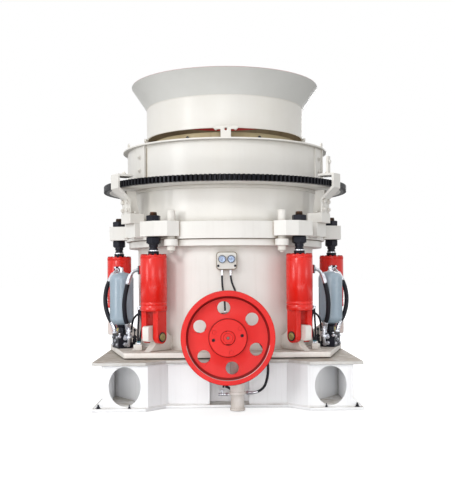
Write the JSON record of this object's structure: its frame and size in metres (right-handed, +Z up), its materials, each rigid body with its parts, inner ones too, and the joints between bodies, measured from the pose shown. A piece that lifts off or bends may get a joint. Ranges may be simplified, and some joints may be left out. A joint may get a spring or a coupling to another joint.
{
  "type": "cone crusher",
  "caption": "Hydraulic cone crusher on a welded base frame: feed hopper, geared adjustment bowl, tramp release cylinders, accumulators, gauges and a belt sheave on its countershaft.",
  "frame": {"origin": "on the floor under the crusher's vertical axis, at the centre of the base frame", "axes": "+Z up; the belt sheave faces -Y and +X is to its right seen from the sheave's side"},
  "size_m": [2.208, 2.55, 2.765],
  "materials": {
    "cream_paint": "satin",
    "red_paint": "gloss",
    "black_rubber": "matte",
    "machined_steel": "satin",
    "wear_steel": "rough",
    "gauge_metal": "polished",
    "black_steel": "satin",
    "zinc_plate": "satin",
    "bottle_paint": "satin",
    "gear_black": "oiled",
    "hose_rubber": "matte"
  },
  "bodies": {
    "root": {"accumulator_manifolds": "black_steel", "accumulators": "bottle_paint", "base_bottom_plate": "cream_paint", "base_end_webs": "cream_paint", "base_top_plate": "cream_paint", "base_webs": "cream_paint", "clevis_pins": "zinc_plate", "countershaft_bearings": "machined_steel", "countershaft_housing": "cream_paint", "cylinder_glands": "black_steel", "cylinder_lugs": "cream_paint", "drain_pipe": "cream_paint", "feed_plate": "wear_steel", "gauge_box": "cream_paint", "guide_pins": "cream_paint", "head": "machined_steel", "isolation_ring": "black_rubber", "main_frame_flange": "cream_paint", "main_frame_foot": "cream_paint", "main_frame_hub": "cream_paint", "main_frame_shell": "cream_paint", "main_shaft": "machined_steel", "mantle": "wear_steel", "pressure_gauges": "gauge_metal", "pressure_hoses": "hose_rubber", "release_cylinder_front_left": "red_paint", "release_cylinder_front_right": "red_paint", "release_cylinder_rear_left": "red_paint", "release_cylinder_rear_right": "red_paint", "release_cylinder_side_left": "red_paint", "release_cylinder_side_right": "red_paint", "service_hoses": "hose_rubber"},
    "adjustment_assembly": {"adjustment_ring": "cream_paint", "adjustment_tower": "cream_paint", "release_rods": "black_steel", "rod_nuts": "black_steel", "gear_brackets": "cream_paint", "stop_arm": "cream_paint"},
    "bowl_assembly": {"gear_ring": "gear_black", "bowl": "cream_paint", "bowl_liner": "wear_steel", "cap_ring": "cream_paint", "lifting_eyes": "cream_paint", "feed_ring": "cream_paint", "hopper": "cream_paint", "hopper_lugs": "cream_paint"},
    "countershaft_assembly": {"countershaft": "machined_steel", "sheave": "red_paint", "sheave_bush": "red_paint"}
  },
  "joints": [
    {"name": "tramp_release_lift", "type": "slide", "parent": "root", "child": "adjustment_assembly", "axis": [0, 0, 1], "range_m": [0, 0.08]},
    {"name": "bowl_turn", "type": "hinge", "parent": "adjustment_assembly", "child": "bowl_assembly", "pos_m": [0, 0, 1.804], "axis": [0, 0, 1], "continuous": true},
    {"name": "sheave_spin", "type": "hinge", "parent": "root", "child": "countershaft_assembly", "pos_m": [0, -1.4, 0.587], "axis": [0, -1, 0], "continuous": true}
  ]
}
